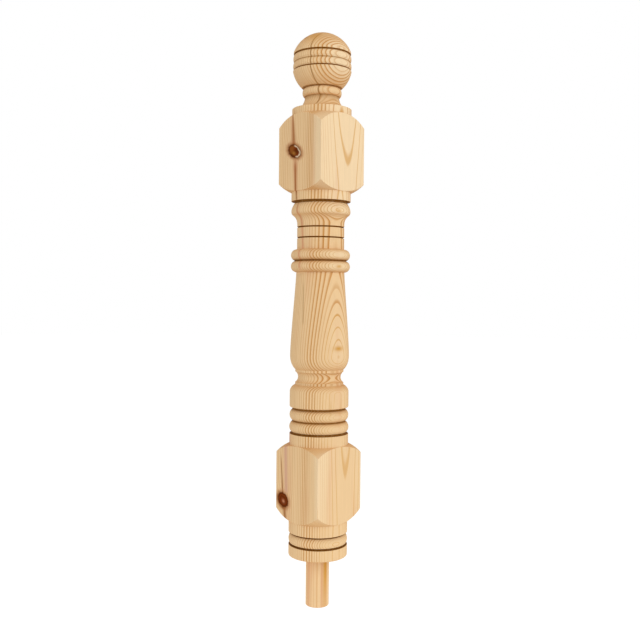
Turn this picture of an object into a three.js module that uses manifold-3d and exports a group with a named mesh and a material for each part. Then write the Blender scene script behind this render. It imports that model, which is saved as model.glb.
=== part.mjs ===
// A turned newel post of unfinished pine, in millimetres, with +Z up.
// It is one piece of timber: a square blank put in the lathe, turned between and beyond two lengths that
// stay square, with a ball at the top and a round spigot at the foot.
// The origin is on the post's axis, in the plane of the seating shoulder that rests on the newel base. The
// spigot below it drops into a bored hole there.

import * as THREE from 'three';
import { mergeVertices } from 'three/addons/utils/BufferGeometryUtils.js';
import Module from 'manifold-3d';

// The blank and what the lathe takes off it everywhere.
const blankSide = 90;
const turningAllowance = 0.8;
const roundSides = 32;

// Spigot and foot. Heights are along the post, and a depth is cut inwards from the collars' surface.
const spigotDiameter = 35;
const spigotLength = 76.5;
const spigotChamfer = 1;
const seatEdgeRound = 2;
const footDrumHeight = 17;
const footSlotWidth = 2.8;
const footBeadHeight = 14.2;
const footBeadNose = 5.7;
const footBeadLowerDepth = 1.3;
const footBeadUpperDepth = 3;
const footCollarSlotWidth = 2;
const footCollarHeight = 17.4;
const slotDepth = 4.4;

// The two square lengths. The shoulders next to the shaft are the short ones.
const outerShoulderHeight = 17.6;
const innerShoulderHeight = 12.7;
const shoulderBulge = 1.1;
const lowerBlockLength = 84.3;
const upperBlockLength = 82.6;

// Collar, pair of beads and drum above the lower block.
const lowerCollarHeight = 16.2;
const lowerSlotWidth = 2.8;
const lowerPairBead = 16.2;
const upperPairBead = 18;
const pairBeadLip = 2.4;
const pairBeadDepth = 5.2;
const drumSlotWidth = 2.4;
const drumEdgeRound = 1.2;
const drumHeight = 22.9;
const drumShoulderHeight = 10.9;
const filletDepth = 8;
const lowerFilletHeight = 3.6;
const scotiaHeight = 15.5;
const scotiaDepth = 3.7;
const filletStep = 0.5;
const upperFilletHeight = 3.9;

// The vase-shaped shaft.
const vaseFootHeight = 20.6;
const vaseFootPull = 10;
const vaseTaperHeight = 124;
const vaseTopDepth = 8.2;

// Twin half-round beads and the plain neck, with two scribed lines.
const twinBeadHeight = 17;
const twinBeadDepth = 8.5;
const twinValleyDepth = 6.2;
const neckDepth = 9;
const neckHeight = 37;
const neckLineWidth = 1.9;
const neckLineDepth = 2.6;
const lowerNeckLine = 17.2;
const upperNeckLine = 32.8;
const neckCoveHeight = 13.4;
const nosingEdgeDepth = 2.8;
const nosingNose = 5.8;
const nosingHeight = 17.4;
const nosingTopDepth = 4.2;
const nosingSlotWidth = 3.2;
const upperCollarHeight = 13.5;

// Collar above the upper block, neck and ball.
const topCollarHeight = 10;
const topLedgeWidth = 4.2;
const ballCoveHeight = 18.4;
const ballNeckDepth = 18.7;
const ballBeadHeight = 12.6;
const ballBeadDepth = 3.7;
const ballBeadGroove = 1;
const ballSeatDepth = 14.6;
const ballLowerExtra = 0.2;
const ballUpperExtra = 1.7;
const ballStretch = 2.4;
const ballBandDepth = 0.8;
const ballCapDepth = 1.6;
const ballGrooveWidth = 2.2;
const ballGrooveDepth = 2.6;
const ballGroovePitch = 11.4;
const ballGrooveOffset = 4;

// How far the handles of the swept curves reach, as shares of the curve's own depth and height.
const evenHandle = 1 / 3;
const seatRoundShare = 1 / 4;
const footNoseSplay = 0.7;
const footFlankRise = 1 / 4;
const drumLeaveRise = 0.43;
const drumArriveSplay = 0.57;
const drumArriveRise = 0.18;
const vaseLeaveRise = 0.18;
const taperLeaveRise = 0.19;
const taperArriveSplay = 0.11;
const taperArriveRise = 0.2;
const coveArriveSplay = 0.6;
const coveArriveRise = 0.2;
const nosingLeaveSplay = 0.55;
const nosingLeaveRise = 0.15;
const ballCoveSplay = 0.64;
const ballCoveLeaveRise = 0.05;
const ballCoveArriveRise = 0.4;

// Flats along a curve, from the smallest edges to the ball's cap.
const edgeFlats = 2;
const shoulderFlats = 3;
const flankFlats = 4;
const coveFlats = 5;
const beadFlats = 6;
const twinBeadFlats = 7;
const capFlats = 8;

const halfSide = blankSide / 2;
const arrisRadius = blankSide * Math.SQRT1_2;
const collarRadius = halfSide - turningAllowance;
const spigotRadius = spigotDiameter / 2;
const halfWay = 0.5;

// How far the outline runs out beyond the arrises, where the faces cut it back.
const past = 2.5;
const samePoint = 1e-4;

// Draws half of the outline from the foot up, as points of radius and height.
class OutlinePen {
  constructor(height) {
    this.points = [new THREE.Vector2(0, height)];
  }

  get radius() {
    return this.points[this.points.length - 1].x;
  }

  get height() {
    return this.points[this.points.length - 1].y;
  }

  // A straight cut to a radius, ending the given rise higher.
  line(radius, rise = 0) {
    this.points.push(new THREE.Vector2(radius, this.height + rise));
  }

  // Follows a three.js curve that starts where the pen is.
  follow(curve, steps) {
    this.points.push(...curve.getPoints(steps).slice(1));
  }

  // A curve that leaves by one handle and arrives by another, each given as radius and height from its end.
  sweep(radius, rise, leave, arrive, steps) {
    const start = this.points[this.points.length - 1];
    const end = new THREE.Vector2(radius, start.y + rise);
    const first = new THREE.Vector2(start.x + leave[0], start.y + leave[1]);
    const second = new THREE.Vector2(end.x + arrive[0], end.y + arrive[1]);
    this.follow(new THREE.CubicBezierCurve(start, first, second, end), steps);
  }

  // A circular arc to a radius and rise, standing out by the bulge, or cut in where it is negative.
  arc(radius, rise, bulge, steps) {
    const start = this.points[this.points.length - 1].clone();
    const chord = new THREE.Vector2(radius - start.x, rise);
    const half = chord.length() / 2;
    const arcRadius = (half * half + bulge * bulge) / (2 * Math.abs(bulge));
    const side = Math.sign(bulge);
    const outward = new THREE.Vector2(chord.y, -chord.x).normalize();
    const centre = start.clone().addScaledVector(chord, half / chord.length())
      .addScaledVector(outward, side * (Math.abs(bulge) - arcRadius));
    const from = start.clone().sub(centre).angle();
    const sweep = 2 * Math.asin(Math.min(1, half / arcRadius)) * side;
    for (let step = 1; step <= steps; step += 1) {
      const angle = from + sweep * step / steps;
      const x = centre.x + arcRadius * Math.cos(angle);
      this.points.push(new THREE.Vector2(x, centre.y + arcRadius * Math.sin(angle)));
    }
  }

  // Half of an ellipse standing out from the present radius.
  bead(rise, outwards, steps) {
    const { radius, height } = this;
    const tall = rise / 2;
    const ellipse = new THREE.EllipseCurve(radius, height + tall, outwards, tall, -Math.PI / 2, Math.PI / 2);
    this.follow(ellipse, steps);
  }

  // A slot as wide as the parting tool, with a flat floor.
  slot(width, floorRadius, endRadius) {
    this.line(floorRadius);
    this.line(floorRadius, width);
    this.line(endRadius);
  }

  // A scribed V line.
  groove(width, depth, endRadius) {
    this.line(Math.min(this.radius, endRadius) - depth, width / 2);
    this.line(endRadius, width / 2);
  }
}

// From a collar out to the arrises of a square length, up its side and back in to the next collar.
function squareLength(pen, lowerHeight, length, upperHeight, endRadius) {
  pen.line(halfSide);
  pen.arc(arrisRadius, lowerHeight, shoulderBulge, shoulderFlats);
  pen.line(arrisRadius + past, past);
  pen.line(arrisRadius + past, length - 2 * past);
  pen.line(arrisRadius, past);
  pen.arc(halfSide, upperHeight, shoulderBulge, shoulderFlats);
  pen.line(endRadius);
}

function foot(pen) {
  pen.line(spigotRadius - spigotChamfer);
  pen.line(spigotRadius, spigotChamfer);
  pen.line(spigotRadius, spigotLength - spigotChamfer);
  pen.line(collarRadius - seatEdgeRound);
  pen.arc(collarRadius, seatEdgeRound, seatEdgeRound * seatRoundShare, edgeFlats);
  pen.line(collarRadius, footDrumHeight - seatEdgeRound);
  const floor = collarRadius - slotDepth;
  pen.slot(footSlotWidth, floor, collarRadius - footBeadLowerDepth);
  const noseRise = footBeadNose * evenHandle;
  const noseLeave = [footBeadLowerDepth * footNoseSplay, noseRise];
  pen.sweep(collarRadius, footBeadNose, noseLeave, [0, -noseRise], edgeFlats);
  const flank = footBeadHeight - footBeadNose;
  const arrive = [footBeadUpperDepth * halfWay, -flank * footFlankRise];
  pen.sweep(collarRadius - footBeadUpperDepth, flank, [0, flank * evenHandle], arrive, shoulderFlats);
  pen.slot(footCollarSlotWidth, floor, collarRadius);
  pen.line(collarRadius, footCollarHeight);
}

function lowerTurning(pen) {
  const floor = collarRadius - slotDepth;
  const beadFoot = collarRadius - pairBeadDepth;
  const beadBulge = pairBeadDepth - pairBeadLip / 2;
  pen.line(collarRadius, lowerCollarHeight);
  pen.slot(lowerSlotWidth, floor, collarRadius - pairBeadLip);
  pen.arc(beadFoot, lowerPairBead, beadBulge, beadFlats);
  pen.arc(beadFoot, upperPairBead, pairBeadDepth, beadFlats);
  pen.slot(drumSlotWidth, floor, collarRadius - drumEdgeRound);
  pen.line(collarRadius, drumEdgeRound);
  pen.line(collarRadius, drumHeight - drumEdgeRound);
  const fillet = collarRadius - filletDepth;
  const arrive = [filletDepth * drumArriveSplay, -drumShoulderHeight * drumArriveRise];
  pen.sweep(fillet, drumShoulderHeight, [0, drumShoulderHeight * drumLeaveRise], arrive, coveFlats);
  pen.line(fillet, lowerFilletHeight);
  pen.line(fillet - filletStep);
  pen.arc(fillet - filletStep, scotiaHeight, -scotiaDepth, beadFlats);
  pen.line(fillet);
  pen.line(fillet, upperFilletHeight);
}

function vase(pen) {
  const top = collarRadius - vaseTopDepth;
  pen.line(pen.radius + filletStep);
  const leave = [filletDepth * halfWay, vaseFootHeight * vaseLeaveRise];
  pen.sweep(collarRadius, vaseFootHeight, leave, [0, -vaseFootPull], coveFlats);
  const arrive = [vaseTopDepth * taperArriveSplay, -vaseTaperHeight * taperArriveRise];
  pen.sweep(top, vaseTaperHeight, [0, vaseTaperHeight * taperLeaveRise], arrive, coveFlats);
}

function neck(pen) {
  const radius = collarRadius - neckDepth;
  const beadFoot = collarRadius - twinBeadDepth;
  const twinBulge = (twinBeadDepth + twinValleyDepth) / 2;
  pen.line(beadFoot);
  pen.arc(collarRadius - twinValleyDepth, twinBeadHeight, twinBulge, twinBeadFlats);
  pen.arc(beadFoot, twinBeadHeight, twinBulge, twinBeadFlats);
  pen.line(radius);
  pen.line(radius, lowerNeckLine - neckLineWidth / 2);
  pen.groove(neckLineWidth, neckLineDepth, radius);
  pen.line(radius, upperNeckLine - lowerNeckLine - neckLineWidth);
  pen.groove(neckLineWidth, neckLineDepth, radius);
  pen.line(radius, neckHeight - upperNeckLine - neckLineWidth / 2);
  const edge = collarRadius - nosingEdgeDepth;
  const coveArrive = [-(neckDepth - nosingEdgeDepth) * coveArriveSplay, -neckCoveHeight * coveArriveRise];
  pen.sweep(edge, neckCoveHeight, [0, neckCoveHeight * halfWay], coveArrive, flankFlats);
  const noseLeave = [nosingEdgeDepth * nosingLeaveSplay, nosingNose * nosingLeaveRise];
  pen.sweep(collarRadius, nosingNose, noseLeave, [0, -nosingNose * halfWay], shoulderFlats);
  const flank = nosingHeight - nosingNose;
  const flankArrive = [nosingTopDepth * halfWay, -flank * evenHandle];
  pen.sweep(collarRadius - nosingTopDepth, flank, [0, flank * evenHandle], flankArrive, flankFlats);
  pen.slot(nosingSlotWidth, collarRadius - slotDepth - neckLineDepth / 2, collarRadius);
  pen.line(collarRadius, upperCollarHeight);
}

function ball(pen) {
  const neckRadius = collarRadius - ballNeckDepth;
  pen.line(collarRadius, topCollarHeight);
  pen.line(collarRadius - topLedgeWidth);
  const drop = pen.radius - neckRadius;
  const leave = [-drop * ballCoveSplay, ballCoveHeight * ballCoveLeaveRise];
  pen.sweep(neckRadius, ballCoveHeight, leave, [0, -ballCoveHeight * ballCoveArriveRise], coveFlats);
  pen.bead(ballBeadHeight, ballBeadDepth, beadFlats);
  pen.line(collarRadius - ballSeatDepth, ballBeadGroove);
  const lowerRadius = collarRadius + ballLowerExtra;
  const upperRadius = collarRadius + ballUpperExtra;
  const centre = pen.height + Math.sqrt(lowerRadius ** 2 - pen.radius ** 2);
  const middle = centre + ballGrooveOffset;
  const first = middle - ballGroovePitch - ballGrooveWidth / 2;
  const last = middle + ballGroovePitch + ballGrooveWidth / 2;
  const lowerStart = Math.asin((pen.height - centre) / lowerRadius);
  const lowerEnd = Math.asin((first - centre) / lowerRadius);
  pen.follow(new THREE.EllipseCurve(0, centre, lowerRadius, lowerRadius, lowerStart, lowerEnd), beadFlats);
  const band = collarRadius - ballBandDepth;
  const capFoot = collarRadius - ballCapDepth;
  const land = ballGroovePitch - ballGrooveWidth;
  const upperCentre = centre + ballStretch;
  const aboveGroove = Math.asin((last - upperCentre) / upperRadius);
  const upperStart = Math.max(Math.acos(capFoot / upperRadius), aboveGroove);
  pen.groove(ballGrooveWidth, ballGrooveDepth, band);
  pen.line(band, land);
  pen.groove(ballGrooveWidth, ballGrooveDepth / 2, band);
  pen.line((band + capFoot) / 2, land);
  pen.groove(ballGrooveWidth, ballGrooveDepth, capFoot);
  const cap = new THREE.EllipseCurve(0, upperCentre, upperRadius, upperRadius, upperStart, Math.PI / 2);
  pen.points.push(...cap.getPoints(capFlats));
  pen.points[pen.points.length - 1].x = 0;
}

function postOutline() {
  const pen = new OutlinePen(-spigotLength);
  foot(pen);
  squareLength(pen, outerShoulderHeight, lowerBlockLength, innerShoulderHeight, collarRadius);
  lowerTurning(pen);
  vase(pen);
  neck(pen);
  squareLength(pen, innerShoulderHeight, upperBlockLength, outerShoulderHeight, collarRadius);
  ball(pen);
  return pen.points;
}

const wasm = await Module();
wasm.setup();

// A three.js geometry as a solid that can be cut.
function asSolid(geometry) {
  const bare = geometry.clone();
  bare.deleteAttribute('normal');
  bare.deleteAttribute('uv');
  const merged = mergeVertices(bare, samePoint);
  const vertProperties = new Float32Array(merged.attributes.position.array);
  const triVerts = new Uint32Array(merged.index.array);
  return new wasm.Manifold(new wasm.Mesh({ numProp: 3, vertProperties, triVerts }));
}

function asGeometry(solid) {
  const mesh = solid.getMesh();
  const geometry = new THREE.BufferGeometry();
  geometry.setAttribute('position', new THREE.BufferAttribute(new Float32Array(mesh.vertProperties), 3));
  geometry.setIndex(new THREE.BufferAttribute(new Uint32Array(mesh.triVerts), 1));
  geometry.computeVertexNormals();
  return geometry;
}

// What the lathe leaves, cut back to the four faces of the blank.
function turnedPost() {
  const outline = postOutline();
  const top = outline[outline.length - 1].y;
  const turned = new THREE.LatheGeometry(outline, roundSides, Math.PI / roundSides);
  turned.rotateX(Math.PI / 2);
  const blank = new THREE.BoxGeometry(blankSide, blankSide, top + spigotLength + 2 * past);
  blank.translate(0, 0, (top - spigotLength) / 2);
  return asGeometry(asSolid(turned).intersect(asSolid(blank)));
}

const pine = new THREE.MeshStandardMaterial({ color: '#e6bd8a', roughness: 0.6, metalness: 0 });

const post = new THREE.Mesh(turnedPost(), pine);
post.name = 'newel_post';

const newel = new THREE.Group();
newel.add(post);

export default newel;
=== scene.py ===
"""A turned newel post of unfinished pine, dressed over its packed solid.

The post is one closed surface: a grid of angle round the post by distance along its outline, worked out
as whole arrays. Its pine is a solid pattern. Growth rings lie round a pith that runs beside the post, so
that each bead, block and groove cuts through the same rings.
"""

import math
from collections import namedtuple

import bpy
import numpy as np
from mathutils import Matrix, Vector


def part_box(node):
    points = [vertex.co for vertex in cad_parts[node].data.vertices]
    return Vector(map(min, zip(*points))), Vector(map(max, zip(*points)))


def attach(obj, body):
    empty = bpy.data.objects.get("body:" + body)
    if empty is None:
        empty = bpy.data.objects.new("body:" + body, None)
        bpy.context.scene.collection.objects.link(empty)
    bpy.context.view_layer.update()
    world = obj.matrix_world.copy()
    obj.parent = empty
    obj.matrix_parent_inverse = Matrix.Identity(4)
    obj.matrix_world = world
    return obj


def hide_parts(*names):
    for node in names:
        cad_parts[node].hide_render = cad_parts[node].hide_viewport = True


bl_info = {
    "name": "Turned newel post",
    "version": (1, 0, 0),
    "blender": (4, 5, 0),
    "location": "3D View > Sidebar > Newel",
    "description": "Turns a pine newel post over its packed solid, and sets its stage",
    "category": "Add Mesh",
}

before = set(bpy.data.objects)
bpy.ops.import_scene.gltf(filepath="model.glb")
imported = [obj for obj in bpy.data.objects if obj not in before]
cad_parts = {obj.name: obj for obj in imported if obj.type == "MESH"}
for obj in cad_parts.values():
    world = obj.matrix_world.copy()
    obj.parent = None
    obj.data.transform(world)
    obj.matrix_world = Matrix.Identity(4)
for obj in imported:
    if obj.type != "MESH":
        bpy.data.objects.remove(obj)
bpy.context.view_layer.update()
CAD_LOW, CAD_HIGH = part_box("newel_post")
MM = 0.001
IN_MM = 1000.0


def length(name, millimetres, description):
    """A size property, shown as a length and stored in metres."""
    return bpy.props.FloatProperty(
        name=name,
        description=description,
        default=millimetres * MM,
        unit="LENGTH",
        subtype="DISTANCE",
        precision=5,
    )


def bearing(name, degrees, description):
    """An angle property, given in degrees."""
    return bpy.props.FloatProperty(
        name=name, description=description, default=math.radians(degrees), unit="ROTATION", subtype="ANGLE"
    )


def share(name, default, description):
    """A plain number property from 0 to 1."""
    return bpy.props.FloatProperty(name=name, description=description, default=default, min=0, max=1)


def wood_colour(name, red, green, blue, description):
    """A colour property. Its default is given as screen values from 0 to 255 and stored as light values."""
    screen = np.array([red, green, blue]) / 255
    light = np.where(screen <= 0.04045, screen / 12.92, ((screen + 0.055) / 1.055) ** 2.4)
    return bpy.props.FloatVectorProperty(
        name=name, description=description, default=light.tolist(), subtype="COLOR", size=3, min=0, max=1
    )


class BlankSizes(bpy.types.PropertyGroup):
    """The square blank and the edges that sanding leaves on it."""

    side: length("Side", (CAD_HIGH.x - CAD_LOW.x) * IN_MM, "Width of the square lengths across their faces")
    allowance: length("Turning allowance", 0.8, "What the lathe takes off each face everywhere else")
    arris_round: length("Arris round", 0.6, "Radius of the four sanded arrises")
    edge_ease: length("Edge ease", 0.3, "Width of the small chamfer on every sharp turned edge")
    outer_shoulder: length("Outer shoulder", 17.6, "Height of the round shoulder away from the shaft")
    inner_shoulder: length("Inner shoulder", 12.7, "Height of the round shoulder next to the shaft")
    shoulder_bulge: length("Shoulder bulge", 1.1, "How far a shoulder stands out from a straight chamfer")
    lower_length: length("Lower square", 84.3, "Straight length of the lower block's arrises")
    upper_length: length("Upper square", 82.6, "Straight length of the upper block's arrises")
    slot_depth: length("Slot depth", 4.4, "Depth of the narrow slots below the collars' surface")


class FootSizes(bpy.types.PropertyGroup):
    """The spigot and the turned foot under the lower block."""

    spigot_diameter: length("Spigot diameter", 35, "Across the round end that is glued into the newel base")
    spigot_length: length("Spigot length", -CAD_LOW.z * IN_MM, "From its end up to the seating shoulder")
    spigot_chamfer: length("Spigot chamfer", 1, "Chamfer round the end of the spigot")
    seat_round: length("Seat edge round", 2, "Round on the lowest edge of the foot")
    drum: length("Foot drum", 17, "Height of the drum that stands on the newel base")
    drum_slot: length("Drum slot", 2.8, "Width of the slot above the foot drum")
    bead: length("Foot bead", 14.2, "Height of the bead above that slot")
    bead_nose: length("Bead nose", 5.7, "Height of the bead's widest ring above the slot")
    bead_lower: length("Bead lower lip", 1.3, "How far the bead's lower lip stands back")
    bead_upper: length("Bead upper lip", 3, "How far the bead's upper lip stands back")
    collar_slot: length("Collar slot", 2, "Width of the slot under the collar")
    collar: length("Foot collar", 17.4, "Height of the collar under the lower block")


class LowerTurningSizes(bpy.types.PropertyGroup):
    """The collar, pair of beads, drum and scotia above the lower block."""

    collar: length("Lower collar", 16.2, "Height of the collar on the lower block")
    collar_slot: length("Collar slot", 2.8, "Width of the slot above the collar")
    low_bead: length("Lower bead", 16.2, "Height of the lower bead of the pair")
    high_bead: length("Upper bead", 18, "Height of the upper bead of the pair")
    bead_lip: length("Bead lip", 2.4, "How far the lower bead stands back at its slot")
    bead_depth: length("Bead depth", 5.2, "How deep the valleys beside the beads are")
    drum_slot: length("Drum slot", 2.4, "Width of the slot under the drum")
    drum_round: length("Drum edge round", 1.2, "Round on the lower edge of the drum")
    drum: length("Drum", 22.9, "Height of the drum's straight side with its lower round")
    drum_shoulder: length("Drum shoulder", 10.9, "Height of the quarter round on the drum")
    fillet_depth: length("Fillet depth", 8, "How far the two fillets stand back")
    low_fillet: length("Lower fillet", 3.6, "Height of the fillet under the scotia")
    scotia: length("Scotia", 15.5, "Height of the hollow under the shaft")
    scotia_depth: length("Scotia depth", 3.7, "Depth of that hollow")
    fillet_step: length("Fillet step", 0.5, "Step between a fillet and the curve beside it")
    high_fillet: length("Upper fillet", 3.9, "Height of the fillet under the vase")


class ShaftSizes(bpy.types.PropertyGroup):
    """The vase-shaped shaft, the twin beads, the neck and the nosing."""

    vase_foot: length("Vase foot", 20.6, "Height of the curve from the fillet to the vase's widest ring")
    vase_pull: length("Vase foot pull", 10, "How soon that curve turns upright")
    taper: length("Taper", 124, "Height of the shaft's taper")
    taper_depth: length("Taper depth", 8.2, "How far the shaft stands back at the top")
    twin_bead: length("Twin bead", 17, "Height of each of the twin half-round beads")
    twin_depth: length("Twin bead depth", 8.5, "How deep the outer ends of the twin beads are")
    twin_valley: length("Twin valley", 6.2, "How deep the valley between the twin beads is")
    neck_depth: length("Neck depth", 9, "How far the plain neck stands back")
    neck: length("Neck", 37, "Height of the plain neck")
    line_width: length("Line width", 1.9, "Width of the two lines scribed round the neck")
    line_depth: length("Line depth", 2.6, "Depth of those lines")
    low_line: length("Lower line", 17.2, "Height of the lower line above the neck's foot")
    high_line: length("Upper line", 32.8, "Height of the upper line above the neck's foot")
    cove: length("Neck cove", 13.4, "Height of the cove under the nosing")
    edge_depth: length("Nosing edge depth", 2.8, "How far the nosing's lower edge stands back")
    nose: length("Nosing nose", 5.8, "Height of the nosing's widest ring above its edge")
    nosing: length("Nosing", 17.4, "Height of the nosing")
    nosing_top: length("Nosing top depth", 4.2, "How far the nosing stands back at its slot")
    nosing_slot: length("Nosing slot", 3.2, "Width of the slot above the nosing")
    collar: length("Upper collar", 13.5, "Height of the collar under the upper block")


class BallSizes(bpy.types.PropertyGroup):
    """The top collar, the coved neck, the small bead and the ball."""

    collar: length("Top collar", 10, "Height of the collar on the upper block")
    ledge: length("Top ledge", 4.2, "Width of the flat ledge on that collar")
    cove: length("Ball cove", 18.4, "Height of the cove under the ball")
    neck_depth: length("Ball neck depth", 18.7, "How far the neck under the ball stands back")
    bead: length("Ball bead", 12.6, "Height of the bead under the ball")
    bead_depth: length("Ball bead depth", 3.7, "How far that bead stands out")
    bead_groove: length("Ball bead groove", 1, "Height of the groove between bead and ball")
    seat_depth: length("Ball seat depth", 14.6, "How far the ball stands back where it starts")
    lower_extra: length("Lower extra", 0.2, "Extra radius of the ball's lower part")
    upper_extra: length("Upper extra", 1.7, "Extra radius of the ball's cap")
    stretch: length("Stretch", 2.4, "How much higher the cap's centre lies")
    band_depth: length("Band depth", 0.8, "How far the bands between the grooves stand back")
    band_round: length("Band round", 1.0, "How far the rounded edges of those bands fall away")
    cap_depth: length("Cap depth", 1.6, "How far the cap stands back at its groove")
    groove_width: length("Groove width", 2.2, "Width of the ball's ring grooves")
    groove_depth: length("Groove depth", 2.6, "Depth of the upper and lower ring groove")
    groove_pitch: length("Groove pitch", 11.4, "Distance from one ring groove to the next")
    groove_offset: length("Groove offset", 4, "Height of the middle groove above the ball's centre")


class PineFinish(bpy.types.PropertyGroup):
    """The colours of the pine."""

    early: wood_colour("Early wood", 241, 205, 156, "The pale wood of spring, between the ring lines")
    late: wood_colour("Late wood", 200, 134, 60, "The darker line that ends each year's ring")
    sap: wood_colour("Sapwood", 250, 224, 184, "The palest wood, next to the bark")
    gold: wood_colour("Golden late wood", 212, 152, 60, "Late wood near the bark, seen as ovals and Vs")
    streak: wood_colour("Streak", 158, 94, 38, "The brown streaks above and below the knots")
    blush: wood_colour("Blush", 220, 152, 112, "The pink streaks of heartwood")
    mauve: wood_colour("Mauve", 212, 160, 138, "The broad dull pink streak on the lower block")
    knot: wood_colour("Knot", 124, 50, 8, "The red-brown body of a knot")
    bark: wood_colour("Knot rim", 86, 38, 4, "The dark rim of a dead knot")
    chip: wood_colour("Chip", 246, 216, 178, "The pale chipped edge beside the upper knot")
    # The scorch colour darkens burnished slots and paints the shade in creases, under beads and beside
    # grooves.
    scorch_and_shade: wood_colour("Scorch", 146, 92, 20, "The burnished floor of a slot")
    scorch_and_shade_strength: share("Scorch strength", 0.96, "How dark the slots are burnished")


class StageSizes(bpy.types.PropertyGroup):
    """The camera and the floor. Heights are above the seating shoulder."""

    distance: length("Camera distance", 1275, "From the post's axis to the camera")
    height: length("Camera height", 388.3, "Height of the camera")
    lens: bpy.props.FloatProperty(name="Lens", description="Focal length", default=47.8125, unit="CAMERA")
    turn: bearing("Turn", 45.7, "Side the camera looks from, turned from the -Y side towards +X")
    tilt: bearing("Tilt", 1.55, "How far the camera looks down")
    roll: bearing("Roll", 0.564, "How far the post leans to the right in the picture")
    swing: bearing("Swing", 0.0094, "How far the camera looks past the axis")
    floor_radius: length("Floor radius", 9000, "Radius of the pale floor")


GROUPS = {
    "blank": BlankSizes,
    "foot": FootSizes,
    "lower": LowerTurningSizes,
    "shaft": ShaftSizes,
    "ball": BallSizes,
    "pine": PineFinish,
    "stage": StageSizes,
}


class NewelSettings(bpy.types.PropertyGroup):
    """Every size and colour of the post, group by group."""

    __annotations__ = {
        name: bpy.props.PointerProperty(type=group, name=name.capitalize(), description=group.__doc__)
        for name, group in GROUPS.items()
    }


# The outline. A point holds radius, height and scorch with painted shade, from 0 for clean wood to 1 for a
# burnished slot. In creases, under slots and beads and beside the ball's grooves the value is painted shade.
FINE = 12
CORNER_TURN = math.radians(35)
SMOOTH_TURN = math.radians(20)
LONGEST_EASE = 0.4
SAME_POINT = 1e-7
SCORCH_AND_SHADE_FALL = 8

# How each free curve leaves and arrives. A pair is a share of the step across and a share of the rise, and a
# last number is the scorch at its end, painted shade in the crease where it meets the next cut.
FOOT_NOSE = ((0.7, 1 / 3), (0, 1 / 3))
FOOT_FLANK = ((0, 1 / 3), (1 / 2, 1 / 4), 0.35)
DRUM_SHOULDER = ((0, 0.43), (0.57, 0.18), 0.12)
SHAFT_TAPER = ((0, 0.19), (0.11, 0.2))
NECK_COVE = ((0, 1 / 2), (0.6, 1 / 5))
NOSING_NOSE = ((0.55, 0.15), (0, 1 / 2))
NOSING_FLANK = ((0, 1 / 3), (1 / 2, 1 / 3), 0.15)
BALL_COVE = ((0.64, 0.05), (0, 0.4), 0.45)
VASE_RISE = 0.18
SEAT_BULGE = 1 / 4

# Scorch and painted shade at the ends of the scotia, and where each pair of arcs starts, meets and ends:
# darker in the creases where shade falls.
SCOTIA_SCORCH_AND_SHADE = (0.12, 0.12)
BEAD_SCORCH_AND_SHADE = (0.0, 0.8, 0.6)
TWIN_SCORCH_AND_SHADE = (0.1, 0.9, 0.1)
BAND_SCORCH_AND_SHADE = (0.4, 0.3, 0.4)

# Scorch of the cuts that aren't burnished through. At the ball's bead and its seat it is painted shade in
# the groove under the ball.
FOOT_SLOT_SCORCH = 0.8
COLLAR_SLOT_SCORCH = 0.9
NOSING_SLOT_SCORCH = 0.85
BALL_BEAD_SCORCH_AND_SHADE = 0.3
BALL_SEAT_SCORCH_AND_SHADE = 0.4
MIDDLE_GROOVE_SCORCH = 0.5

# Columns and rows of the grid, and how many arris radii the even columns keep from a corner.
FACE_COLUMNS = 44
ARRIS_COLUMNS = 7
SHOULDER_ROWS = 15
ARRIS_SPREAD = 3


def arc_centre(start, chord, bulge):
    """Centre and radius of the arc from a start along a chord whose middle stands out by the bulge b.

    With half the chord as h, the radius R is (h^2 + b^2) / 2b, and the centre lies b - R out from the middle
    of the chord. A negative b cuts in, with the centre on the other side.
    """
    half = np.hypot(*chord) / 2
    around = (half**2 + bulge**2) / (2 * abs(bulge))
    outward = np.array([chord[1], -chord[0]]) / (2 * half)
    return start + chord / 2 + outward * (bulge - math.copysign(around, bulge)), around


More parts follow.
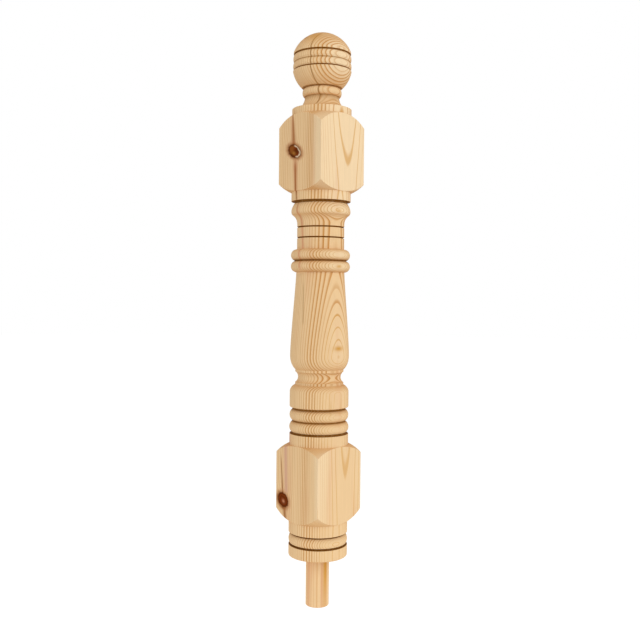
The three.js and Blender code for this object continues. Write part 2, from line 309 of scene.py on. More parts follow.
class Outline:
    """Half of a turned outline, drawn from the foot up, each stretch computed as whole arrays."""

    def __init__(self, radius, height):
        self.runs = [np.array([[radius, height, 0.0]])]

    @property
    def radius(self):
        """The radius where the outline has got to."""
        return self.runs[-1][-1, 0]

    @property
    def height(self):
        """The height where it has got to."""
        return self.runs[-1][-1, 1]

    def add(self, radius, height, scorch_and_shade=0.0):
        """Appends points given as arrays of the three values."""
        self.runs.append(np.stack(np.broadcast_arrays(radius, height, scorch_and_shade), axis=-1).reshape(-1, 3))

    def line(self, radius, rise=0.0):
        """A straight cut to a radius, ending the given rise higher."""
        self.add(radius, self.height + rise)

    def sweep(self, radius, rise, leave, arrive, burn_and_shade=0.0):
        """A cubic Bezier curve from P0 to P3, with P1 = P0 + leave (P3 - P0) and P2 = P3 - arrive (P3 - P0).

        It is (1-t)^3 P0 + 3 t (1-t)^2 P1 + 3 t^2 (1-t) P2 + t^3 P3. Scorch and painted shade grow with t^3
        to the burn_and_shade at its end.
        """
        start = self.runs[-1][-1, :2]
        end = np.array([radius, start[1] + rise])
        t = np.linspace(0, 1, FINE + 1)[1:, None]
        first, second = start + (end - start) * leave, end - (end - start) * arrive
        near, far = 3 * t * (1 - t) ** 2, 3 * t**2 * (1 - t)
        curve = (1 - t) ** 3 * start + near * first + far * second + t**3 * end
        self.add(curve[:, 0], curve[:, 1], burn_and_shade * t[:, 0] ** 3)

    def arc(self, radius, rise, bulge, burns_and_shade=(0.0, 0.0)):
        """A circular arc whose middle stands out from its chord by the bulge. A negative bulge cuts it in.

        With half the chord as h and the radius as R, it turns through 2 asin(h / R). Scorch and painted
        shade fall from one of the burns_and_shade and grow to the other with the eighth power of the way
        along, so that they stay near the ends, in the creases where shade falls.
        """
        start = self.runs[-1][-1, :2].copy()
        chord = np.array([radius - start[0], rise])
        centre, around = arc_centre(start, chord, bulge)
        begin = math.atan2(*(start - centre)[::-1])
        through = 2 * math.asin(min(1.0, np.hypot(*chord) / 2 / around))
        t = np.linspace(0, 1, FINE + 1)[1:]
        angle = begin + math.copysign(through, bulge) * t
        scorch_and_shade = burns_and_shade[0] * (1 - t) ** SCORCH_AND_SHADE_FALL + burns_and_shade[1] * t**SCORCH_AND_SHADE_FALL
        self.add(centre[0] + around * np.cos(angle), centre[1] + around * np.sin(angle), scorch_and_shade)

    def ring(self, centre, around, begin, finish, steps):
        """Part of a circle about a point on the axis, from one angle above the level to another."""
        angle = np.linspace(begin, finish, steps + 1)
        self.add(around * np.cos(angle), centre + around * np.sin(angle))

    def bead(self, rise, outwards, burn_and_shade=0.0):
        """Half an ellipse that stands out from the present radius, with scorch and painted shade where it
        ends.
        """
        angle = np.linspace(-math.pi / 2, math.pi / 2, FINE + 1)[1:]
        height = self.height + rise / 2 * (1 + np.sin(angle))
        self.add(self.radius + outwards * np.cos(angle), height, np.append(np.zeros(FINE - 1), burn_and_shade))

    def slot(self, width, floor, end, scorch_and_shade=1.0):
        """A slot with a flat floor, burnished all over, that ends at another radius."""
        low, high = self.height, self.height + width
        self.add([floor, floor, end], [low, high, high], [scorch_and_shade, scorch_and_shade, 0.0])

    def groove(self, width, depth, end, scorch_and_shade=1.0):
        """A scribed V line."""
        bottom = min(self.radius, end) - depth
        self.add([bottom, end], [self.height + width / 2, self.height + width], [scorch_and_shade, 0.0])

    def points(self, ease):
        """The whole outline, without doubled points and with each sharp corner cut off by the ease.

        A corner P between A and B becomes P + (A - P) s and P + (B - P) s, with s the ease as a share of the
        side. Scorch and painted shade don't fade over a corner: each new point takes the darker of the two
        ends of its side.
        """
        drawn = np.vstack(self.runs)
        apart = np.hypot(*np.diff(drawn[:, :2], axis=0).T) > SAME_POINT
        drawn = drawn[np.concatenate([[True], apart])]
        corner, before, after = drawn[1:-1], drawn[:-2] - drawn[1:-1], drawn[2:] - drawn[1:-1]
        long_before, long_after = np.hypot(*before[:, :2].T), np.hypot(*after[:, :2].T)
        cosine = -(before[:, :2] * after[:, :2]).sum(axis=1) / (long_before * long_after)
        sharp = np.arccos(np.clip(cosine, -1, 1)) > CORNER_TURN
        first = corner + before * np.minimum(ease / long_before, LONGEST_EASE)[:, None]
        last = corner + after * np.minimum(ease / long_after, LONGEST_EASE)[:, None]
        first[:, 2] = np.maximum(drawn[:-2, 2], corner[:, 2])
        last[:, 2] = np.maximum(drawn[2:, 2], corner[:, 2])
        pairs = np.stack([np.where(sharp[:, None], first, corner), last], axis=1)
        wanted = np.stack([np.ones_like(sharp), sharp], axis=1)
        return np.vstack([drawn[:1], pairs[wanted], drawn[-1:]])


def foot_outline(foot, blank, collar):
    """From the middle of the spigot's end, over the seating shoulder and the foot, to the lower block."""
    spigot = foot.spigot_diameter / 2
    pen = Outline(0.0, -foot.spigot_length)
    pen.line(spigot - foot.spigot_chamfer)
    pen.line(spigot, foot.spigot_chamfer)
    pen.line(spigot, foot.spigot_length - foot.spigot_chamfer)
    pen.line(collar - foot.seat_round)
    pen.arc(collar, foot.seat_round, foot.seat_round * SEAT_BULGE)
    pen.line(collar, foot.drum - foot.seat_round)
    floor = collar - blank.slot_depth
    pen.slot(foot.drum_slot, floor, collar - foot.bead_lower, FOOT_SLOT_SCORCH)
    pen.sweep(collar, foot.bead_nose, *FOOT_NOSE)
    pen.sweep(collar - foot.bead_upper, foot.bead - foot.bead_nose, *FOOT_FLANK)
    pen.slot(foot.collar_slot, floor, collar)
    pen.line(collar, foot.collar)
    return pen


def middle_outline(height, lower, shaft, blank, collar):
    """From the lower block, over the pair of beads, the drum, the vase and the neck, to the upper block."""
    floor = collar - blank.slot_depth
    pen = Outline(collar, height)
    pen.line(collar, lower.collar)
    pen.slot(lower.collar_slot, floor, collar - lower.bead_lip, COLLAR_SLOT_SCORCH)
    valley = collar - lower.bead_depth
    pen.arc(valley, lower.low_bead, lower.bead_depth - lower.bead_lip / 2, BEAD_SCORCH_AND_SHADE[:2])
    pen.arc(valley, lower.high_bead, lower.bead_depth, BEAD_SCORCH_AND_SHADE[1:])
    pen.slot(lower.drum_slot, floor, collar - lower.drum_round)
    pen.line(collar, lower.drum_round)
    pen.line(collar, lower.drum - lower.drum_round)
    fillet = collar - lower.fillet_depth
    pen.sweep(fillet, lower.drum_shoulder, *DRUM_SHOULDER)
    pen.line(fillet, lower.low_fillet)
    pen.line(fillet - lower.fillet_step)
    pen.arc(fillet - lower.fillet_step, lower.scotia, -lower.scotia_depth, SCOTIA_SCORCH_AND_SHADE)
    pen.line(fillet)
    pen.line(fillet, lower.high_fillet)
    pen.line(fillet + lower.fillet_step)
    leave = (lower.fillet_depth / 2 / (lower.fillet_depth - lower.fillet_step), VASE_RISE)
    pen.sweep(collar, shaft.vase_foot, leave, (0, shaft.vase_pull / shaft.vase_foot))
    pen.sweep(collar - shaft.taper_depth, shaft.taper, *SHAFT_TAPER)
    neck_outline(pen, shaft, collar, floor)
    return pen


def neck_outline(pen, shaft, collar, floor):
    """The twin beads, the neck with its two lines, the cove, the nosing and the collar above it."""
    twin_foot = collar - shaft.twin_depth
    twin_bulge = (shaft.twin_depth + shaft.twin_valley) / 2
    pen.line(twin_foot)
    pen.arc(collar - shaft.twin_valley, shaft.twin_bead, twin_bulge, TWIN_SCORCH_AND_SHADE[:2])
    pen.arc(twin_foot, shaft.twin_bead, twin_bulge, TWIN_SCORCH_AND_SHADE[1:])
    neck = collar - shaft.neck_depth
    width = shaft.line_width
    pen.line(neck)
    pen.line(neck, shaft.low_line - width / 2)
    pen.groove(width, shaft.line_depth, neck)
    pen.line(neck, shaft.high_line - shaft.low_line - width)
    pen.groove(width, shaft.line_depth, neck)
    pen.line(neck, shaft.neck - shaft.high_line - width / 2)
    pen.sweep(collar - shaft.edge_depth, shaft.cove, *NECK_COVE)
    pen.sweep(collar, shaft.nose, *NOSING_NOSE)
    pen.sweep(collar - shaft.nosing_top, shaft.nosing - shaft.nose, *NOSING_FLANK)
    pen.slot(shaft.nosing_slot, floor - shaft.line_depth / 2, collar, NOSING_SLOT_SCORCH)
    pen.line(collar, shaft.collar)


def ball_outline(height, ball, collar):
    """From the upper block, over the top collar, the coved neck and the bead, round the ball to its pole."""
    pen = Outline(collar, height)
    pen.line(collar, ball.collar)
    pen.line(collar - ball.ledge)
    pen.sweep(collar - ball.neck_depth, ball.cove, *BALL_COVE)
    pen.bead(ball.bead, ball.bead_depth, BALL_BEAD_SCORCH_AND_SHADE)
    pen.add(collar - ball.seat_depth, pen.height + ball.bead_groove, BALL_SEAT_SCORCH_AND_SHADE)
    lower, upper = collar + ball.lower_extra, collar + ball.upper_extra
    centre = pen.height + math.sqrt(lower**2 - pen.radius**2)
    middle = centre + ball.groove_offset
    width, pitch, depth, fall = ball.groove_width, ball.groove_pitch, ball.groove_depth, ball.band_round
    first, last = middle - pitch - width / 2, middle + pitch + width / 2
    begin, finish = math.asin((pen.height - centre) / lower), math.asin((first - centre) / lower)
    pen.ring(centre, lower, begin, finish, 2 * FINE)
    band, cap_foot = collar - ball.band_depth, collar - ball.cap_depth
    edge, cap_edge = band - fall, (band + cap_foot) / 2 - fall
    pen.groove(width, depth - fall, edge)
    pen.arc(edge, pitch - width, fall, BAND_SCORCH_AND_SHADE[:2])
    pen.groove(width, depth / 2 - fall, edge, MIDDLE_GROOVE_SCORCH)
    pen.arc(cap_edge, pitch - width, fall, BAND_SCORCH_AND_SHADE[1:])
    pen.groove(width, depth - fall, cap_foot)
    cap = centre + ball.stretch
    begin = max(math.acos(cap_foot / upper), math.asin((last - cap) / upper))
    pen.ring(cap, upper, begin, math.pi / 2, 2 * FINE)
    return pen


def face_angles(blank):
    """The angles of the grid's columns: even over each face, and close together over the sanded arrises."""
    half = blank.side / 2
    tangent = math.atan2(half - blank.arris_round, half)
    beside = math.atan2(half - ARRIS_SPREAD * blank.arris_round, half)
    even = np.linspace(-beside, beside, FACE_COLUMNS)
    arris = np.linspace(tangent, math.pi / 2 - tangent, ARRIS_COLUMNS)
    face = np.concatenate([even, arris])
    return (face[None, :] + np.arange(4)[:, None] * math.pi / 2).ravel()


def square_reach(angles, blank):
    """Distance from the axis to the faces at each angle, for a square with round arrises.

    With a the angle from the nearest face's middle and h the half side, a face is h / cos a away. A ray that
    leaves the face beyond m = h - c meets the round of radius c at b + sqrt(b^2 - 2 m^2 + c^2), where b is
    m (cos a + sin a).
    """
    half, corner = blank.side / 2, blank.arris_round
    turned = (angles + math.pi / 4) % (math.pi / 2) - math.pi / 4
    a = np.abs(turned)
    flat = half / np.cos(a)
    m = half - corner
    b = m * (np.cos(a) + np.sin(a))
    rounded = b + np.sqrt(np.maximum(b**2 - 2 * m**2 + corner**2, 0))
    return np.where(half * np.tan(a) > m, rounded, flat)


def shoulder_rows(reach, half, height, bulge, ease):
    """Rows of radius and rise of a round shoulder, which ends where each column meets the square.

    The turned arc runs from the half side to the arris with its centre at (u, v), so its rise at radius r is
    v - sqrt(R^2 - (r - u)^2). The last two rows are the chamfer between the shoulder and the face.
    """
    chord = np.array([half * math.sqrt(2) - half, height])
    (u, v), around = arc_centre(np.array([half, 0]), chord, bulge)

    def rise(radius):
        """Height of the turned arc above its ledge."""
        return v - np.sqrt(around**2 - (radius - u) ** 2)

    inset = np.minimum(ease, (reach - half) / 2)
    way = np.linspace(0, 1, SHOULDER_ROWS)[:, None]
    radius = half + (reach - inset - half) * way
    return np.vstack([radius, reach]), np.vstack([rise(radius), rise(reach) + inset])


def square_rows(angles, blank, foot, length_of_arris, low_shoulder, high_shoulder):
    """Rows of one square length, from its lower ledge over both shoulders to its upper ledge."""
    reach, half = square_reach(angles, blank), blank.side / 2
    bulge, ease = blank.shoulder_bulge, blank.edge_ease
    low_radius, low_rise = shoulder_rows(reach, half, low_shoulder, bulge, ease)
    high_radius, high_rise = shoulder_rows(reach, half, high_shoulder, bulge, ease)
    top = foot + low_shoulder + length_of_arris + high_shoulder
    radius = np.vstack([low_radius, high_radius[::-1]])
    return radius, np.vstack([foot + low_rise, top - high_rise[::-1]]), top


def post_grid(settings):
    """The post's whole surface as grids of radius, height and scorch with painted shade, one column for each
    angle.
    """
    blank = settings.blank
    collar = blank.side / 2 - blank.allowance
    angles = face_angles(blank)
    rows = []

    def turned(pen, skip=0):
        """Adds a turned stretch, the same in every column, without its first few points."""
        points = pen.points(blank.edge_ease)[skip:]
        rows.append(np.repeat(points[:, None, :], len(angles), axis=1))

    def square(foot, length_of_arris, low, high):
        """Adds a square length and gives the height where it ends."""
        radius, height, top = square_rows(angles, blank, foot, length_of_arris, low, high)
        rows.append(np.stack([radius, height, np.zeros_like(radius)], axis=-1))
        return top

    outer, inner = blank.outer_shoulder, blank.inner_shoulder
    foot = foot_outline(settings.foot, blank, collar)
    turned(foot, skip=1)
    top = square(foot.height, blank.lower_length, outer, inner)
    middle = middle_outline(top, settings.lower, settings.shaft, blank, collar)
    turned(middle)
    top = square(middle.height, blank.upper_length, inner, outer)
    ball = ball_outline(top, settings.ball, collar)
    turned(ball)
    grid = np.vstack(rows)
    return angles, grid[:-1], ball.height


def placed(name, data):
    """A new object with this mesh, light or camera, linked to the scene."""
    made = bpy.data.objects.new(name, data)
    bpy.context.scene.collection.objects.link(made)
    return made


def closed_post(name, angles, grid, foot, top):
    """A closed mesh from the grid: quads between rows, and a fan of triangles to a middle point at each end.

    A grid point with radius r, height z and angle a lies at (r cos a, r sin a, z).
    """
    rows, columns = grid.shape[:2]
    radius, height = grid[..., 0], grid[..., 1]
    places = np.stack([radius * np.cos(angles), radius * np.sin(angles), height], axis=-1).reshape(-1, 3)
    vertices = np.vstack([places, [[0, 0, foot], [0, 0, top]]])
    index = np.arange(rows * columns).reshape(rows, columns)
    beside = np.roll(index, -1, axis=1)
    quads = np.stack([index[:-1], beside[:-1], beside[1:], index[1:]], axis=-1).reshape(-1, 4)
    under = np.stack([beside[0], index[0], np.full(columns, rows * columns)], axis=-1)
    over = np.stack([index[-1], beside[-1], np.full(columns, rows * columns + 1)], axis=-1)
    mesh = bpy.data.meshes.new(name)
    mesh.from_pydata(vertices.tolist(), [], quads.tolist() + under.tolist() + over.tolist())
    mesh.polygons.foreach_set("use_smooth", np.ones(len(mesh.polygons), dtype=bool))
    mesh.set_sharp_from_angle(angle=SMOOTH_TURN)
    # The scorch_and_shade attribute: burnished slots, and painted shade in creases and under the beads.
    scorch_and_shade = mesh.attributes.new("scorch_and_shade", "FLOAT", "POINT")
    scorch_and_shade.data.foreach_set("value", np.concatenate([grid[..., 2].ravel(), [0, 0]]).astype(np.float32))
    mesh.update()
    return mesh


class Value:
    """A number or colour that varies over the surface. Arithmetic on it adds Math nodes."""

    def __init__(self, paint, socket):
        self.paint = paint
        self.socket = socket

    def __add__(self, other):
        return self.paint.math("ADD", self, other)

    def __radd__(self, other):
        return self.paint.math("ADD", other, self)

    def __sub__(self, other):
        return self.paint.math("SUBTRACT", self, other)

    def __rsub__(self, other):
        return self.paint.math("SUBTRACT", other, self)

    def __mul__(self, other):
        return self.paint.math("MULTIPLY", self, other)

    def __rmul__(self, other):
        return self.paint.math("MULTIPLY", other, self)

    def __truediv__(self, other):
        return self.paint.math("DIVIDE", self, other)

    def __rtruediv__(self, other):
        return self.paint.math("DIVIDE", other, self)

    def __pow__(self, other):
        return self.paint.math("POWER", self, other)

    def __neg__(self):
        return self.paint.math("MULTIPLY", self, -1.0)


class Paint:
    """The node tree of a material or world, with the few ways of adding to it that are needed here."""

    # Which of a Mix node's sockets are for colours.
    COLOUR_A, COLOUR_B, COLOUR_OUT = 6, 7, 2

    def __init__(self, owner):
        owner.use_nodes = True
        self.owner = owner
        self.tree = owner.node_tree
        self.tree.nodes.clear()

    def node(self, kind, settings=None, values=None, output=0):
        """Adds a node. Its settings are set first, then its sockets are filled or linked."""
        made = self.tree.nodes.new(kind)
        for key, setting in (settings or {}).items():
            setattr(made, key, setting)
        for key, value in (values or {}).items():
            if isinstance(value, Value):
                self.tree.links.new(value.socket, made.inputs[key])
            else:
                made.inputs[key].default_value = value
        return Value(self, made.outputs[output]) if made.outputs else None

    def part(self, place, axis):
        """One of the three parts of a place or direction."""
        return self.node("ShaderNodeSeparateXYZ", {}, {0: place}, axis)

    def math(self, operation, *terms):
        """One step of arithmetic on values and plain numbers."""
        return self.node("ShaderNodeMath", {"operation": operation}, dict(enumerate(terms)))

    def smooth(self, value, low, high, low_to=0.0, high_to=1.0):
        """Goes from one result to another while the value goes from low to high, easing at both ends."""
        settings = {"interpolation_type": "SMOOTHSTEP"}
        ends = {"Value": value, "From Min": low, "From Max": high, "To Min": low_to, "To Max": high_to}
        return self.node("ShaderNodeMapRange", settings, ends)

    def bell(self, value, width):
        """A bell curve, exp(-(v / w)^2)."""
        scaled = value / width
        return self.math("EXPONENT", -(scaled * scaled))

    def noise(self, place, grain):
        """Noise from 0 to 1 about 0.5 over a place in millimetres."""
        scale = (grain.scale, grain.scale, grain.scale / grain.stretch)
        terms = {0: place, 1: scale, 2: (grain.offset, grain.offset, grain.offset)}
        scaled = self.node("ShaderNodeVectorMath", {"operation": "MULTIPLY_ADD"}, terms)
        return self.node("ShaderNodeTexNoise", {}, {"Vector": scaled, "Scale": 1.0, "Detail": grain.detail})

    def blend(self, under, over, factor):
        """One colour over another by a factor. A colour is a Value or three numbers."""
        settings = {"data_type": "RGBA"}
        pair = [c if isinstance(c, Value) else (*c, 1.0) for c in (under, over)]
        filled = {0: factor, self.COLOUR_A: pair[0], self.COLOUR_B: pair[1]}
        return self.node("ShaderNodeMix", settings, filled, self.COLOUR_OUT)

    def shade(self, colour, factor):
        """A colour times a number."""
        return self.node("ShaderNodeVectorMath", {"operation": "SCALE"}, {0: colour, "Scale": factor})


# Where the timber grew. Every place here is in millimetres in the post's frame.
PITH_X = -120.0
PITH_Y = 11.7
PITH_FROM_Z = 122.0
PITH_LEAN_X = 0.0038
PITH_BEND_X = 1.17e-5
PITH_LEAN_Y = -0.007
OLD_RADIUS = 148.0
RINGS_PER_MM = 0.30
RINGS_TIGHTEN = 0.01425
FIRST_YEAR = 0.759
RINGS_WAVER = 0.9

# What changes with the distance from the pith: the two distances between which it changes, and its value at
# each, which is 0 and 1 where none is given.
LATE_STARTS = (154.0, 161.0, 0.42, 0.8)
LINES_DEEPEN = (128.0, 148.0, 0.5, 0.95)
LINES_PALE = (157.0, 162.0, 1.0, 0.72)
LINES_TURN_GOLD = (157.0, 160.5)
SAPWOOD = (168.0, 178.0)

# How much the sapwood's edge leans for each millimetre up, and how much of its colour shows. The lean paints
# the upper block's faces paler than the lower block's, a painted sheen there.
SAPWOOD_AND_SHEEN_LEAN = 0.03
SAP_SHARE = 0.65

# Late wood within its year: where it is full, where it starts to end, and how strong the faintest line is.
LATE_FULL = 0.9
LATE_ENDS = 0.94
FAINTEST_YEAR = 0.35

# Noises: waves in a millimetre, how many times longer they are along the grain, their detail and an offset.
Grain = namedtuple("Grain", "scale stretch detail offset")
WAVER = Grain(0.03, 7.0, 2.0, 0.0)
FIBRES = Grain(1.1, 45.0, 3.0, 0.0)
TONE = Grain(0.05, 9.0, 2.0, 7.3)
RELIEF = Grain(2.2, 30.0, 2.0, 1.7)
SHEEN = Grain(0.5, 20.0, 2.0, 9.0)
CHAR = Grain(0.35, 1.0, 2.0, 5.0)
KNOT_EDGE = Grain(0.2, 1.0, 2.0, 0.0)

# How much those noises and the slope change the colour, and the finish of the surface. The bump's distance
# is in metres.
FIBRE_SHARE = 0.16
BLUSH_TONE = (0.52, 0.74)
BLUSH_SHARE = 0.2
END_GRAIN_SHARE = 0.5
SCORCH_AND_SHADE_FULL = 0.65
CHAR_UNEVEN = (0.2, 0.6, 0.8, 1.0)
ROUGHNESS = 0.58
SHEEN_SHARE = 0.12
LATE_GLOSS = 0.06
SPECULAR = 0.02
BUMP_STRENGTH = 0.25
BUMP_DISTANCE = 0.00012

# Streaks and knots are on the side that faces -Y, from none at the first value of y to full at the second.
FACING_US = (-14.0, -20.0)

# A streak is centred on x at the height z and moves by the lean for each millimetre up. It shows from low to
# high, and its half width goes from the one to the other.
Streak = namedtuple("Streak", "x z lean low high low_width high_width colour strength")
STREAKS = (
    Streak(-13.9, 630, -0.05, 602, 666, 5.0, 2.0, "blush", 0.6),
    Streak(-13.3, 630, -0.06, 603, 668, 4.0, 1.5, "streak", 0.75),
    Streak(-8.4, 580, -0.02, 536, 600, 2.4, 5.0, "blush", 0.85),
    Streak(-8.6, 580, -0.03, 526, 597, 1.5, 3.0, "streak", 0.75),
    Streak(-6.4, 530, -0.071, 486, 570, 1.6, 1.6, "streak", 0.5),
    Streak(-2.5, 480, -0.071, 425, 532, 2.0, 2.0, "blush", 0.8),
    Streak(4.8, 377, -0.071, 345, 420, 1.2, 1.2, "scorch_and_shade", 0.4),
    Streak(-32.3, 125, -0.08, 88, 160, 1.8, 0.9, "streak", 0.85),
    Streak(-23.5, 140, -0.03, 92, 200, 4.0, 4.0, "mauve", 0.75),
    Streak(-25.4, 66, -0.13, 50, 92, 3.0, 4.0, "streak", 0.85),
    Streak(16.4, 731, 0.0, 664, 790, 0.9, 0.9, "scorch_and_shade", 0.8),
)
STREAK_START = 8.0
STREAK_FADE = 24.0

# Wide and tall are half sizes, and tilt is in degrees. The rings bend round a knot.
Knot = namedtuple("Knot", "x z wide tall tilt chipped")
KNOTS = (Knot(-10.5, 601.3, 14.0, 8.6, -26, True), Knot(-29.1, 84.6, 12.0, 10.0, -38, False))
KNOT_UNEVEN = 0.42
KNOT_FAR = 9
KNOT_SPREAD = 1.5
KNOT_PUSH = 5.0

# Places on a knot, where 0 is its centre and 1 its outline. A spot's last number is its width.
HALO = (1.8, 1.0)
HALO_SHARE = 0.4
STAIN_AT = 1.1
STAIN_WIDTH = 0.3
RIM_AT = 0.95
SOUND_BODY = (1.08, 0.9)
SMALL_RINGS = 17.0
HEART = (0.15, -0.1, 0.24)
CHIPPED_BODY = (1.06, 0.92)
WORN_SPOT = (-0.02, -0.35, 0.3)
CHIP_AT = 0.86

# Soft patches of colour: centre, radius across the grain, and how many times taller they are.
Patch = namedtuple("Patch", "at radius tall colour strength")
PATCHES = (
    Patch((-2.6, -30.7, 768.0), 3.4, 1, "streak", 0.75),
    # The gold patch on the upper left of the ball's cap is golden wood with painted shade.
    Patch((12.0, -28.0, 767.0), 11.0, 1, "gold", 0.6),
    Patch((43.7, -3.6, 313.0), 8.0, 0.45, "gold", 0.9),
    Patch((45.0, -6.0, 514.0), 5.0, 0.5, "gold", 0.6),
    Patch((45.0, -5.0, 433.0), 5.0, 0.5, "gold", 0.7),
    Patch((40.1, -15.5, 227.0), 1.4, 8, "gold", 0.55),
    Patch((43.0, 1.0, 227.0), 1.4, 8, "gold", 0.55),
    Patch((17.5, -0.6, -16.0), 3.3, 13, "gold", 0.95),
    Patch((-1.6, -17.5, -38.0), 3.2, 30, "blush", 0.5),
    Patch((16.1, -6.9, -38.0), 1.4, 30, "blush", 0.55),
)


class Pine:
    """The solid pattern of the pine, from the pith outwards."""

    def __init__(self, finish):
        self.finish = finish
        self.paint = Paint(bpy.data.materials.new("pine"))
        paint = self.paint
        place = paint.node("ShaderNodeTexCoord", output="Object")
        self.place = paint.node("ShaderNodeVectorMath", {"operation": "SCALE"}, {0: place, "Scale": IN_MM})
        self.x, self.y, self.z = (paint.part(self.place, axis) for axis in "XYZ")
        self.towards_us = paint.smooth(self.y, *FACING_US)

    def knot_place(self, knot):
        """Across and up from a knot's centre, in its half widths and half heights, turned by its tilt."""
        tilt = math.radians(knot.tilt)
        across, up = self.x - knot.x, self.z - knot.z
        along = across * math.cos(tilt) + up * math.sin(tilt)
        aside = up * math.cos(tilt) - across * math.sin(tilt)
        return along / knot.wide, aside / knot.tall

    def knot_distance(self, knot):
        """1 on the knot's outline, less inside it, a little uneven, and far away on every other side."""
        along, aside = self.knot_place(knot)
        uneven = (self.paint.noise(self.place, KNOT_EDGE) - 0.5) * KNOT_UNEVEN
        return (along * along + aside * aside) ** 0.5 + uneven + (1 - self.towards_us) * KNOT_FAR

    def rings(self):
        """Distance from the pith, and the years grown there: whole years and the share of the next.

        The years are a e + b max(e, 0)^2 + c, with e the distance beyond the radius where growth slowed.
        The distance is pushed out round each knot, and wavers a little with a slow noise.
        """
        paint = self.paint
        up = self.z - PITH_FROM_Z
        across = self.x - (PITH_X + up * PITH_LEAN_X + up * up * PITH_BEND_X)
        aside = self.y - (PITH_Y + up * PITH_LEAN_Y)
        waver = (paint.noise(self.place, WAVER) - 0.5) * RINGS_WAVER
        distance = (across * across + aside * aside) ** 0.5 + waver
        for knot in KNOTS:
            distance = distance + paint.bell(self.knot_distance(knot), KNOT_SPREAD) * KNOT_PUSH
        beyond = distance - OLD_RADIUS
        grown = paint.math("MAXIMUM", beyond, 0.0)
        years = beyond * RINGS_PER_MM + grown * grown * RINGS_TIGHTEN + FIRST_YEAR
        return distance, years

    def late_wood(self, distance, years):
        """How far the surface is in late wood: it darkens slowly through a year and ends sharply.

        Each year has its own strength, from white noise on its number.
        """
        paint = self.paint
        year = paint.math("FLOOR", years)
        within = years - year
        starts = paint.smooth(distance, *LATE_STARTS)
        late = paint.smooth(within, starts, LATE_FULL) * paint.smooth(within, 1.0, LATE_ENDS)
        chance = paint.node("ShaderNodeTexWhiteNoise", {"noise_dimensions": "1D"}, {"W": year + 0.5})
        return late * (chance * (1 - FAINTEST_YEAR) + FAINTEST_YEAR)

    def clean_wood(self):
        """Early and late wood, paler sapwood with golden lines and painted sheen high up, and the fine
        fibres.
        """
        paint, finish = self.paint, self.finish
        distance, years = self.rings()
        late = self.late_wood(distance, years)
        fibres = paint.noise(self.place, FIBRES)
        tone = paint.noise(self.place, TONE)
        # Leaning up, the sapwood's paleness is a painted sheen on the upper block's faces.
        sapwood_and_sheen = paint.smooth(distance + self.z * SAPWOOD_AND_SHEEN_LEAN, *SAPWOOD)
        colour = paint.blend(finish.early, finish.sap, sapwood_and_sheen * SAP_SHARE)
        colour = paint.blend(colour, finish.blush, paint.smooth(tone, *BLUSH_TONE) * BLUSH_SHARE)
        line = paint.blend(finish.late, finish.gold, paint.smooth(distance, *LINES_TURN_GOLD))
        shown = paint.smooth(distance, *LINES_DEEPEN) * paint.smooth(distance, *LINES_PALE)
        colour = paint.blend(colour, line, late * shown)
        return paint.shade(colour, (fibres - 0.5) * FIBRE_SHARE + 1.0), late

    def streaks_over(self, colour):
        """The long streaks and soft patches. Each is a bell across the grain, exp(-(distance / width)^2)."""
        paint = self.paint
        for streak in STREAKS:
            middle = (self.z - streak.z) * streak.lean + streak.x
            width = paint.smooth(self.z, streak.low, streak.high, streak.low_width, streak.high_width)
            starts = paint.smooth(self.z, streak.low, streak.low + STREAK_START)
            ends = paint.smooth(self.z, streak.high, streak.high - STREAK_FADE)
            across = paint.bell(self.x - middle, width)
            factor = across * starts * ends * self.towards_us * streak.strength
            colour = paint.blend(colour, getattr(self.finish, streak.colour), factor)
        for patch in PATCHES:
            across, aside, up = patch.at
            squat = (self.z - up) / patch.tall
            away = ((self.x - across) ** 2 + (self.y - aside) ** 2 + squat**2) ** 0.5
            factor = paint.bell(away, patch.radius) * patch.strength
            colour = paint.blend(colour, getattr(self.finish, patch.colour), factor)
        return colour

    def knots_over(self, colour):
        """Each knot has a stained halo, and on it a body with a soft dark rim, sound or chipped."""
        for knot in KNOTS:
            distance = self.knot_distance(knot)
            halo = self.paint.smooth(distance, *HALO) * HALO_SHARE
            colour = self.paint.blend(colour, self.finish.blush, halo)
            finish_knot = self.chipped_knot if knot.chipped else self.sound_knot
            colour = finish_knot(colour, distance, *self.knot_place(knot))
        return colour

    def spot(self, along, aside, spot_along, spot_aside, width):
        """A bell round a point of a knot."""
        return self.paint.bell(((along - spot_along) ** 2 + (aside - spot_aside) ** 2) ** 0.5, width)

    def sound_knot(self, colour, distance, along, aside):
        """Red-brown with small rings, sin(k d), round a pale heart. A stain runs down from its rim."""
        paint, finish = self.paint, self.finish
        below = paint.smooth(aside + along * 0.4, 0.9, -0.9, 0.35, 0.8)
        colour = paint.blend(colour, finish.streak, paint.bell(distance - STAIN_AT, STAIN_WIDTH) * below)
        small_rings = paint.math("SINE", distance * SMALL_RINGS) * 0.3 + 0.3
        body = paint.blend(finish.knot, finish.bark, small_rings * paint.smooth(distance, 0.1, 0.5))
        body = paint.blend(body, finish.blush, self.spot(along, aside, *HEART) * 0.75)
        colour = paint.blend(colour, body, paint.smooth(distance, *SOUND_BODY))
        return paint.blend(colour, finish.bark, paint.bell(distance - RIM_AT, 0.13) * 0.6)

    def chipped_knot(self, colour, distance, along, aside):
        """Orange on one side, dark across the middle where its dark wood has the shade of its chipped hollow
        painted in, with a pale crescent where its edge chipped away.
        """
        paint, finish = self.paint, self.finish
        colour = paint.blend(colour, finish.streak, paint.bell(distance - STAIN_AT, STAIN_WIDTH) * 0.6)
        body = paint.blend(finish.knot, finish.streak, paint.smooth(along, 0.1, -0.5) * 0.65)
